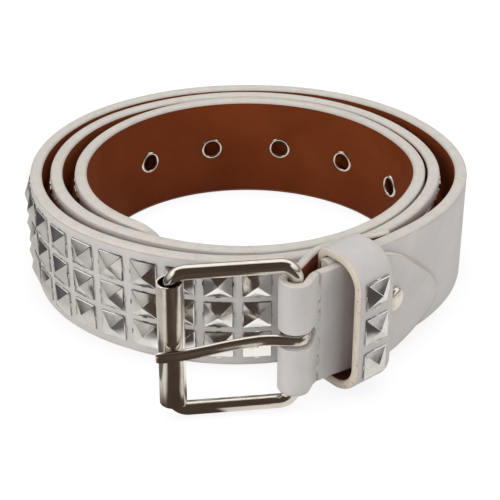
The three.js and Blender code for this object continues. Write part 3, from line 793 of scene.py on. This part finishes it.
def plated(name, colour, dull, roughness, dents, bulge=0.0):
    """Polished plating, a little smeared by fingers, with small dents that bend its reflections.
    On a shape with its own face map, "bulge" bows the faces and a painted shade darkens the skirt's
    outer wall, where it meets the leather."""
    recipe = new_material(name)
    place = recipe.place()
    smear = recipe.noise(place, 160.0, 4.0, 0.6)
    scratches = recipe.noise(place, 2400.0, 2.0)
    bent = recipe.bump(recipe.noise(place, 210.0, 2.0) + scratches * 0.02, 0.0006, dents)
    face = recipe.add("ShaderNodeAttribute", {"attribute_name": "face"}, output="Vector")
    axes = recipe.add("ShaderNodeSeparateXYZ", {}, {"Vector": face})
    u, v = (Signal(recipe, axes.socket.node.outputs[k]) for k in "XY")
    # Painted shade on the skirt's outer wall, where the stud meets the leather.
    skirt_shade = u.size().joined("MAXIMUM", v.size()).inside(1.0, 0.02)
    finish = recipe.mix(smear.above(0.45, 0.3), colour, dull)
    return recipe.surface({
        "Base Color": recipe.mix(skirt_shade * 0.65, finish, (0.24, 0.19, 0.16, 1)),
        "Metallic": 1.0,
        "Roughness": roughness + smear.above(0.5, 0.3) * 0.1,
        "Normal": recipe.bump(0 - (u * u + v * v) * bulge, 1.0, 1.0, bent),
    })


STUD_METAL = plated(
    "stud_plating", (0.87, 0.87, 0.86, 1), (0.74, 0.73, 0.71, 1), 0.12, 0.14, 0.0002,
)


def places_on_strap(lengths, offset, rows=(0,)):
    places = []
    for length in lengths:
        middle = strap_matrix(length, offset).translation
        turn = (0, 0, yaw(on_strap(length)[1]))
        places += [(middle + Vector((0, 0, row * STUD_ROW_PITCH * MM)), turn) for row in rows]
    return places


column_lengths = [PLAIN_LENGTH + STUD_COLUMN_PITCH * (i + 0.5) for i in range(STUD_COLUMNS)]
column_lengths += [tip_studs_start + STUD_COLUMN_PITCH * (i + 0.5) for i in range(TIP_STUD_COLUMNS)]
strap_stud_places = places_on_strap(column_lengths, STRAP_THICKNESS / 2, (-1, 0, 1))
studs = set_out("strap_studs", stud_shape(), strap_stud_places, math.radians(0.9), 7, STUD_METAL)
dressed(studs, STUD_METAL, "belt", "nickel")

# Eyelets. Short nickel tubes through the belt holes, their rims rolled over on both faces.
EYELET_BORE = 3.05
EYELET_FLANGE = 4.1


def turned(name, profile, sides, closed):
    """Shape turned round the y axis from points (radius, y)."""
    mesh = bpy.data.meshes.new(name)
    verts = []
    for i in range(sides):
        a = 2 * math.pi * i / sides
        verts += [Vector((r * math.cos(a), y, r * math.sin(a))) * MM for r, y in profile]
    count = len(profile)
    faces = []
    for i in range(sides):
        a, b = i * count, (i + 1) % sides * count
        for j in range(count if closed else count - 1):
            k = (j + 1) % count
            faces.append((a + j, a + k, b + k, b + j))
    mesh.from_pydata(verts, [], faces)
    outward(mesh, 1e-7)
    mesh.shade_smooth()
    mesh.set_sharp_from_angle(angle=math.radians(50))
    return placed(name, mesh)


def eyelet_shape():
    half = STRAP_THICKNESS / 2
    rim = [(EYELET_BORE + 0.02, 0.25), (EYELET_BORE + 0.22, 0.48), (EYELET_BORE + 0.5, 0.56),
           (EYELET_FLANGE - 0.15, 0.34), (EYELET_FLANGE, 0.05), (EYELET_FLANGE - 0.2, -0.04)]
    face = [(r, half + y) for r, y in rim]
    wall = [(EYELET_BORE + 0.4, half - 0.05), (EYELET_BORE + 0.4, -half + 0.05)]
    other = [(r, -y) for r, y in reversed(face)]
    bore = [(EYELET_BORE, -half - 0.05), (EYELET_BORE, 0.0), (EYELET_BORE, half + 0.05)]
    return turned("eyelet_shape", face + wall + other + bore, 32, True)


BUCKLE_METAL = plated("buckle_plating", (0.84, 0.80, 0.74, 1), (0.72, 0.66, 0.58, 1), 0.14, 0.08)
eyelet_places = places_on_strap(hole_lengths, 0)
eyelets = set_out("eyelets", eyelet_shape(), eyelet_places, math.radians(1.5), 3, BUCKLE_METAL)
dressed(eyelets, BUCKLE_METAL, "belt", "nickel", *(f"eyelet_{i + 1}" for i in range(HOLE_COUNT)))

# Tab. A separate white leather with a brown inside, folded round the buckle's near bar and
# pinched close behind it by a row of stitches. Its front leg ends in a drooping rounded tongue.
TAB_THICKNESS = 2.6
TAB_TIP_THICKNESS = 1.3
TAB_FRONT_LENGTH = 52.5
TAB_TONGUE_LENGTH = 38.0
TAB_BACK_LENGTH = 31.5
TAB_TONGUE_DROP = 7.5
NECK_AT = 5.2
NECK_FRONT = 2.4
NECK_BACK = 3.9
SLOT_REACH = 5.0
SLOT_HALF = 2.7
SLOT_BACK = 16.0
SLOT_DEPTH = 12.0
STITCH_AT = 6.8
STITCH_PITCH = 3.1
STITCH_MARGIN = 2.5
THREAD_RADIUS = 0.26
KEEPER_WALL = 2.8
KEEPER_WIDTH = 14.0
KEEPER_AT = 8.8
TAB_STEP = 0.5
TONGUE_ALONG = [0, 0.2, 0.36, 0.52, 0.68, 0.81, 0.91, 0.975, 1]
TONGUE_WIDTH = [1, 0.98, 0.9, 0.76, 0.6, 0.46, 0.32, 0.18, 0.05]


def tab_controls():
    """Rows (x, y, thickness, width, middle height) from the tongue's tip to the back leg's end."""
    front = STRAP_THICKNESS / 2 + CLEARANCE + TAB_THICKNESS / 2
    rows = []
    tongue_start = TAB_FRONT_LENGTH - TAB_TONGUE_LENGTH
    for i in range(32, -1, -1):
        share = between(TONGUE_ALONG, i / 4)
        length = tongue_start + share * TAB_TONGUE_LENGTH
        rows.append((length, share, between(TONGUE_WIDTH, i / 4)))
    rows += [(tongue_start * k, 0.0, 1.0) for k in (0.75, 0.5, 0.25, 0)]
    controls = []
    for length, share, width in rows:
        point, along, out = on_strap(length)
        thickness = TAB_THICKNESS + (TAB_TIP_THICKNESS - TAB_THICKNESS) * share
        drop = TAB_TONGUE_DROP * (length / TAB_FRONT_LENGTH) ** 1.6
        place = point + out * (front - (TAB_THICKNESS - thickness) / 2)
        height = STRAP_WIDTH / 2 + lift(length) - drop
        controls.append((place.x, place.y, thickness, width * STRAP_WIDTH, height))

    def round_bar(degrees, radius, away=0.0):
        place = bar + unit(FOLD_YAW) * away + unit(FOLD_YAW + degrees) * radius
        return (place.x, place.y, TAB_THICKNESS, STRAP_WIDTH, FRAME_MIDDLE)

    fold = WIRE_RADIUS + CLEARANCE + TAB_THICKNESS / 2
    controls.append(round_bar(-90, NECK_FRONT, NECK_AT))
    controls += [round_bar(turn, fold) for turn in range(-90, -271, -15)]
    controls.append(round_bar(-270, NECK_BACK, NECK_AT))
    close = STRAP_THICKNESS / 2 + CLEARANCE + TAB_THICKNESS / 2
    wide = close + KEEPER_WALL + 3.5 * CLEARANCE
    for share in (0.1, 0.3, 0.45, 0.7, 0.85, 1):
        length = share * TAB_BACK_LENGTH
        point, along, out = on_strap(length)
        closing = min(1, max(0, (length - KEEPER_AT - KEEPER_WIDTH / 2) / KEEPER_WIDTH))
        place = point - out * (wide + (close - wide) * closing)
        height = STRAP_WIDTH / 2 + lift(length)
        controls.append((place.x, place.y, TAB_THICKNESS, STRAP_WIDTH, height))
    return controls


def flowing(controls, step):
    """Even smooth steps through control rows, the first two values of which are a place in plan."""
    times = [0.0]
    for a, b in zip(controls, controls[1:]):
        times.append(times[-1] + math.hypot(b[0] - a[0], b[1] - a[1]))
    last = len(controls) - 1

    def slope(i):
        a, b = max(i - 1, 0), min(i + 1, last)
        span = times[b] - times[a]
        return [(q - p) / span for p, q in zip(controls[a], controls[b])]

    rows = []
    count = int(times[-1] / step)
    for n in range(count + 1):
        at = times[-1] * n / count
        k = min(max(bisect.bisect_right(times, at) - 1, 0), last - 1)
        span = times[k + 1] - times[k]
        t = (at - times[k]) / span
        h = (
            2 * t ** 3 - 3 * t * t + 1, t ** 3 - 2 * t * t + t,
            3 * t * t - 2 * t ** 3, t ** 3 - t * t,
        )
        rows.append([
            h[0] * p + h[1] * span * m + h[2] * q + h[3] * span * w
            for p, m, q, w in zip(controls[k], slope(k), controls[k + 1], slope(k + 1))
        ])
    return rows


tab_rows = flowing(tab_controls(), TAB_STEP)
fold_axis = unit(FOLD_YAW)
tab_outs = []
for i, row in enumerate(tab_rows):
    a, b = tab_rows[max(i - 1, 0)], tab_rows[min(i + 1, len(tab_rows) - 1)]
    ahead = Vector((b[0] - a[0], b[1] - a[1])).normalized()
    tab_outs.append(Vector((-ahead.y, ahead.x)))
stitch_row = min(
    range(len(tab_rows) // 2),
    key=lambda i: abs((Vector(tab_rows[i][:2]) - bar).dot(fold_axis) - STITCH_AT),
)


def beside_stitches(ring, reach):
    """1 at the row of stitches, falling off within the reach."""
    return math.exp(-((ring - stitch_row) * TAB_STEP / reach) ** 2)


def tab_shape(thickness, half):
    rounds = (min(0.95, thickness * 0.4), min(0.8, thickness * 0.35))
    return band_section(thickness / 2, -thickness / 2, max(half, 2.6), *rounds, lined=True)


tab_rings = []
for i, (x, y, thickness, width, middle) in enumerate(tab_rows):
    pinch = 0.3 * beside_stitches(i, 0.7)
    point = Vector((x, y)) - tab_outs[i] * pinch / 2
    tab_rings.append(standing(point, tab_outs[i], tab_shape(thickness - pinch, width / 2), middle))
tab_section = tab_shape(TAB_THICKNESS, STRAP_WIDTH / 2)
tab = skin("tab_leather", tab_rings, tab_section, [TAB_STEP * i for i in range(len(tab_rings))])
tab_points = [divmod(i, len(tab_section)) for i in range(len(tab.data.vertices))]


def keeper_shadow_share(from_tip):
    """Painted shadow of the keeper on the tab's front leg: 1 at the keeper, falling off towards the
    fold.
    """
    share = min(max((TAB_FRONT_LENGTH + 5 - from_tip) / 8, 0), 1)
    return share ** 2 if from_tip > TAB_FRONT_LENGTH - 10 else 0


def baring(from_tip, height):
    """1 on the cut edge at the tongue's tip, falling off along the tongue."""
    share = min(max(1.6 - from_tip / 24, 0), 1)
    return share if abs(height) > STRAP_WIDTH / 2 - 1.1 else 0


# Painted shade along the row of stitches.
marked(tab.data, "stitch_groove_shade", [beside_stitches(ring, 0.55) for ring, j in tab_points])
# Painted shadow of the keeper on the tab's front leg.
marked(tab.data, "keeper_shadow", [keeper_shadow_share(ring * TAB_STEP) for ring, j in tab_points])
marked(tab.data, "bare", [baring(ring * TAB_STEP, tab_section[j][1]) for ring, j in tab_points])
slot_outline = [(-SLOT_BACK, -SLOT_HALF), (-SLOT_BACK, SLOT_HALF)]
slot_outline += arc(SLOT_REACH - SLOT_HALF, 0, SLOT_HALF, 90, -90, 12)
slot_matrix = (
    Matrix.Translation(Vector((bar.x + belt_place.x, bar.y + belt_place.y, FRAME_MIDDLE)) * MM)
    @ Matrix.Rotation(math.radians(FOLD_YAW), 4, "Z")
    @ Matrix.Diagonal((MM, SLOT_DEPTH * MM, MM, 1))
)
cut(tab, prism("slot", slot_outline, [slot_matrix]))
dressed(tab, WHITE_LEATHER, "belt", "white_leather", "buckle_tab")


def thread_material():
    recipe = new_material("thread")
    place = recipe.place()
    strands = recipe.noise(place, 2600.0, 2.0)
    colour = recipe.mix(strands, (0.62, 0.57, 0.52, 1), (0.80, 0.77, 0.73, 1))
    return recipe.surface({
        "Base Color": colour, "Roughness": 0.7, "Normal": recipe.bump(strands, 0.0001, 0.8),
    })


def stitch_shape():
    """A short thread that dips into the leather at both of its ends, along z."""
    rings, count = [], 9
    half = STITCH_PITCH / 2 - 0.25
    for i in range(count):
        t = i / (count - 1) * 2 - 1
        radius = THREAD_RADIUS * math.sqrt(max(1 - t ** 6, 0.08))
        dip = 0.35 * t ** 4
        rings += [
            Vector((radius * math.cos(a), dip + radius * math.sin(a) - 0.02, half * t)) * MM
            for a in (2 * math.pi * k / 8 for k in range(8))
        ]
    faces = [tuple(range(8)), tuple(range(8 * (count - 1), 8 * count))]
    for i in range(count - 1):
        faces += side_faces(8 * i, 8)
    mesh = bpy.data.meshes.new("stitch_shape")
    mesh.from_pydata(rings, [], faces)
    outward(mesh)
    mesh.shade_smooth()
    return placed("stitch_shape", mesh)


THREAD = thread_material()
stitch_x, stitch_y, stitch_thickness, _, stitch_middle = tab_rows[stitch_row]
stitch_out = tab_outs[stitch_row]
stitch_point = Vector((stitch_x, stitch_y)) + stitch_out * (stitch_thickness / 2 - 0.3) + belt_place
stitch_turn = math.atan2(stitch_out.x, -stitch_out.y)
stitch_count = int((STRAP_WIDTH - 2 * STITCH_MARGIN) / STITCH_PITCH)
stitch_places = []
for i in range(stitch_count):
    height = stitch_middle + (i - (stitch_count - 1) / 2) * STITCH_PITCH
    place = Vector((stitch_point.x, stitch_point.y, height)) * MM
    stitch_places.append((place, (0, 0, stitch_turn)))
stitches = set_out("tab_stitches", stitch_shape(), stitch_places, math.radians(2.5), 11, THREAD)
dressed(stitches, THREAD, "belt", "white_leather")

# Keeper. A loop of the same leather, loose round the strap and the tab's front leg, its cut
# edges painted cream and cracked by use. Three studs like the strap's sit on its face.
TAB_FREE = 6.0
KEEPER_HEADROOM = 1.4
KEEPER_SAG = 0.5
KEEPER_FRONT_RADIUS = 10.0
KEEPER_BACK_RADIUS = 4.8
KEEPER_STUD_PITCH = 12.0
KEEPER_STEP = 1.2
keeper_inside = STRAP_THICKNESS + CLEARANCE + TAB_THICKNESS + CLEARANCE + TAB_FREE
half_depth = keeper_inside / 2 + KEEPER_WALL
half_height = STRAP_WIDTH / 2 + KEEPER_HEADROOM + KEEPER_WALL
keeper_point, keeper_along, keeper_out = on_strap(KEEPER_AT)
keeper_shift = -STRAP_THICKNESS / 2 - 2.5 * CLEARANCE + keeper_inside / 2
keeper_middle = keeper_point + keeper_out * keeper_shift
keeper_height = STRAP_WIDTH / 2 + lift(KEEPER_AT) - KEEPER_SAG


def loop_points(half_across, half_up, front, back, step):
    """Points (across, up, normal across, normal up) round a rectangle with rounded corners."""
    points = []
    for across, up, radius, start in (
        (half_across - front, half_up - front, front, 0),
        (back - half_across, half_up - back, back, 90),
        (back - half_across, back - half_up, back, 180),
        (half_across - front, front - half_up, front, 270),
    ):
        for i in range(13):
            a = math.radians(start + 90 * i / 12)
            out_across, out_up = math.cos(a), math.sin(a)
            points.append((across + radius * out_across, up + radius * out_up, out_across, out_up))
    rows = []
    for a, b in zip(points, points[1:] + points[:1]):
        parts = max(1, int(math.hypot(b[0] - a[0], b[1] - a[1]) / step))
        rows += [tuple(p + (q - p) * i / parts for p, q in zip(a, b)) for i in range(parts)]
    return rows


keeper_section = band_section(
    KEEPER_WALL / 2, -KEEPER_WALL / 2, KEEPER_WIDTH / 2, 0.9, 0.8, lined=True,
)
keeper_rows = loop_points(
    half_depth - KEEPER_WALL / 2, half_height - KEEPER_WALL / 2,
    KEEPER_FRONT_RADIUS - KEEPER_WALL / 2, KEEPER_BACK_RADIUS - KEEPER_WALL / 2, KEEPER_STEP,
)
keeper_rings = []
for across, up, normal_across, normal_up in keeper_rows:
    ring = []
    for u, side, edge, inside in keeper_section:
        plan = keeper_middle + keeper_out * (across + normal_across * u) + keeper_along * side
        ring.append(Vector((plan.x, plan.y, keeper_height + up + normal_up * u)))
    keeper_rings.append(ring)
CREAM = (0.72, 0.65, 0.55, 1)
# The keeper's inner face is raw brown leather, darkened well below the strap's raw back as painted
# shade inside the loop.
CREAM_LEATHER = leather("keeper_leather", WHITE, CREAM, 0.8, (0.09, 0.025, 0.012, 1))
keeper_travel = [KEEPER_STEP * i for i in range(len(keeper_rings) + 1)]
keeper = skin("keeper_leather", keeper_rings, keeper_section, keeper_travel, looped=True)
dressed(keeper, CREAM_LEATHER, "belt", "white_leather", "keeper")

keeper_face = keeper_middle + keeper_out * half_depth + belt_place
keeper_turn = (0, math.pi / 2, yaw(keeper_along))
keeper_places = []
for row in (-1, 0, 1):
    place = Vector((keeper_face.x, keeper_face.y, keeper_height + row * KEEPER_STUD_PITCH)) * MM
    keeper_places.append((place, keeper_turn))
askew = math.radians(1.2)
keeper_studs = set_out("keeper_studs", stud_shape(), keeper_places, askew, 5, STUD_METAL)
dressed(keeper_studs, STUD_METAL, "belt", "nickel", *(f"keeper_stud_{i + 1}" for i in range(3)))

# Snap cap. A domed cap pressed over the snap's socket, on the tongue behind the keeper.
SNAP_RADIUS = 4.0
SNAP_HEIGHT = 1.8
SNAP_AT = 25.0
SNAP_CURVE = [
    (0, -1.0), (0.28, -0.985), (0.55, -0.9), (0.76, -0.74), (0.9, -0.5), (0.97, -0.28),
    (1.0, -0.12), (1.0, -0.02), (0.94, 0.02), (0, 0.02),
]
snap_profile = [(r * SNAP_RADIUS, y * SNAP_HEIGHT) for r, y in SNAP_CURVE]
snap_shape = turned("snap_shape", snap_profile, 40, False)
snap_places = places_on_strap([SNAP_AT], STRAP_THICKNESS / 2 + TAB_THICKNESS + 2 * CLEARANCE)
snap = set_out("snap_cap_dome", snap_shape, snap_places, 0.0, 1, BUCKLE_METAL)
dressed(snap, BUCKLE_METAL, "belt", "nickel", "snap_cap")

# Buckle frame. One rectangle of round wire, bent at four rounded corners and butted inside the
# fold, then nickel plated.
FRAME_CORNER_RADIUS = 4.6
WIRE_STEP = 4
frame_x = unit(180 + FRAME_YAW)
frame_y = Vector((-frame_x.y, frame_x.x))


def in_frame(x, y, z):
    """A point of the buckle: x from the near bar to the roller, y out of its face."""
    plan = bar + frame_x * x + frame_y * y
    return Vector((plan.x, plan.y, z))


wire_section = [(u, v, 0, 0) for u, v in circle(WIRE_RADIUS, 20)]
wire_rows = loop_points(
    FRAME_LENGTH / 2, FRAME_HEIGHT / 2, FRAME_CORNER_RADIUS, FRAME_CORNER_RADIUS, WIRE_STEP,
)
wire_rings = [
    [
        in_frame(FRAME_LENGTH / 2 + x + nx * u, v, FRAME_MIDDLE + z + nz * u)
        for u, v, *_ in wire_section
    ]
    for x, z, nx, nz in wire_rows
]
wire = skin("buckle_wire", wire_rings, wire_section, list(range(len(wire_rings) + 1)), looped=True)
dressed(wire, BUCKLE_METAL, "frame", "nickel", "buckle_frame")

# Roller. A strip of plated sheet curled to a tube round the far bar, so that the tongue's pull
# rolls off it. Its seam faces the strap and its two ends are open.
ROLLER_OUTER = 4.0
ROLLER_INNER = 3.4
ROLLER_HALF = 20.5
SEAM = 2.0
ROLLER_STEPS = 72
roller_rings = []
roller_upper = [
    (ROLLER_OUTER, ROLLER_HALF - 0.12, 0, 0), (ROLLER_OUTER - 0.12, ROLLER_HALF, 0, 0),
    (ROLLER_INNER + 0.08, ROLLER_HALF, 0, 0), (ROLLER_INNER, ROLLER_HALF - 0.08, 0, 0),
]
roller_lower = [(r, -z, *marks) for r, z, *marks in reversed(roller_upper)]
roller_section = roller_lower[-1:] + roller_upper + roller_lower[:-1]
for i in range(ROLLER_STEPS + 1):
    a = math.radians(270 + SEAM + (360 - 2 * SEAM) * i / ROLLER_STEPS)
    roller_rings.append([
        in_frame(FRAME_LENGTH + r * math.cos(a), r * math.sin(a), FRAME_MIDDLE + z)
        for r, z, *_ in roller_section
    ])
roller_travel = list(range(ROLLER_STEPS + 1))
roller = skin("roller_tube", roller_rings, roller_section, roller_travel, sharp=30)
dressed(roller, BUCKLE_METAL, "roller", "nickel", "roller")

# Prong. A flat wire curled once round the near bar through the tab's slot, bent in a little and
# laid over the roller, its end ground to a bevel.
PRONG_WIDTH = 3.4
PRONG_THICKNESS = 2.2
PRONG_OVERHANG = 5.0
PRONG_DROP = 1.2
PRONG_STEP = 0.6
PRONG_BEVEL = 1.4
PRONG_BEND = ((0.25, 0.36), (0.5, 0.5), (0.76, 0.8), (1, 1))
prong_half = PRONG_THICKNESS / 2
curl = WIRE_RADIUS + CLEARANCE + prong_half
rest = ROLLER_OUTER + CLEARANCE + prong_half
prong_controls = arc(0, 0, curl, -30, -270, 12)
prong_controls += [(FRAME_LENGTH * x, rest * y) for x, y in PRONG_BEND]
prong_controls.append((FRAME_LENGTH + PRONG_OVERHANG, rest))
prong_rows = flowing(prong_controls, PRONG_STEP)
prong_rings = []


def prong_shape(slim):
    half, flat = prong_half * slim, PRONG_WIDTH / 2 * (0.5 + slim / 2)
    corner = 0.95 * slim
    points = []
    corners = ((half, flat, 0), (-half, flat, 90), (-half, -flat, 180), (half, -flat, 270))
    for u, v, start in corners:
        middle_u, middle_v = u - math.copysign(corner, u), v - math.copysign(corner, v)
        points += arc(middle_u, middle_v, corner, start, start + 90, 4)
    return [(u, v, 0, 0) for u, v in points]


for i, (x, y) in enumerate(prong_rows):
    a, b = prong_rows[max(i - 1, 0)], prong_rows[min(i + 1, len(prong_rows) - 1)]
    ahead = Vector((b[0] - a[0], b[1] - a[1])).normalized()
    left = (len(prong_rows) - 1 - i) * PRONG_STEP
    slim = 0.62 + 0.38 * math.sqrt(min(left / PRONG_BEVEL, 1))
    share = min(max(x / FRAME_LENGTH, 0), 1)
    height = FRAME_MIDDLE - PRONG_DROP * share ** 2
    prong_rings.append([
        in_frame(x - ahead.y * u, y + ahead.x * u, height + v) for u, v, *_ in prong_shape(slim)
    ])
prong_travel = [PRONG_STEP * i for i in range(len(prong_rings))]
prong = skin("prong_wire", prong_rings, prong_shape(1), prong_travel)
dressed(prong, BUCKLE_METAL, "prong", "nickel", "prong")
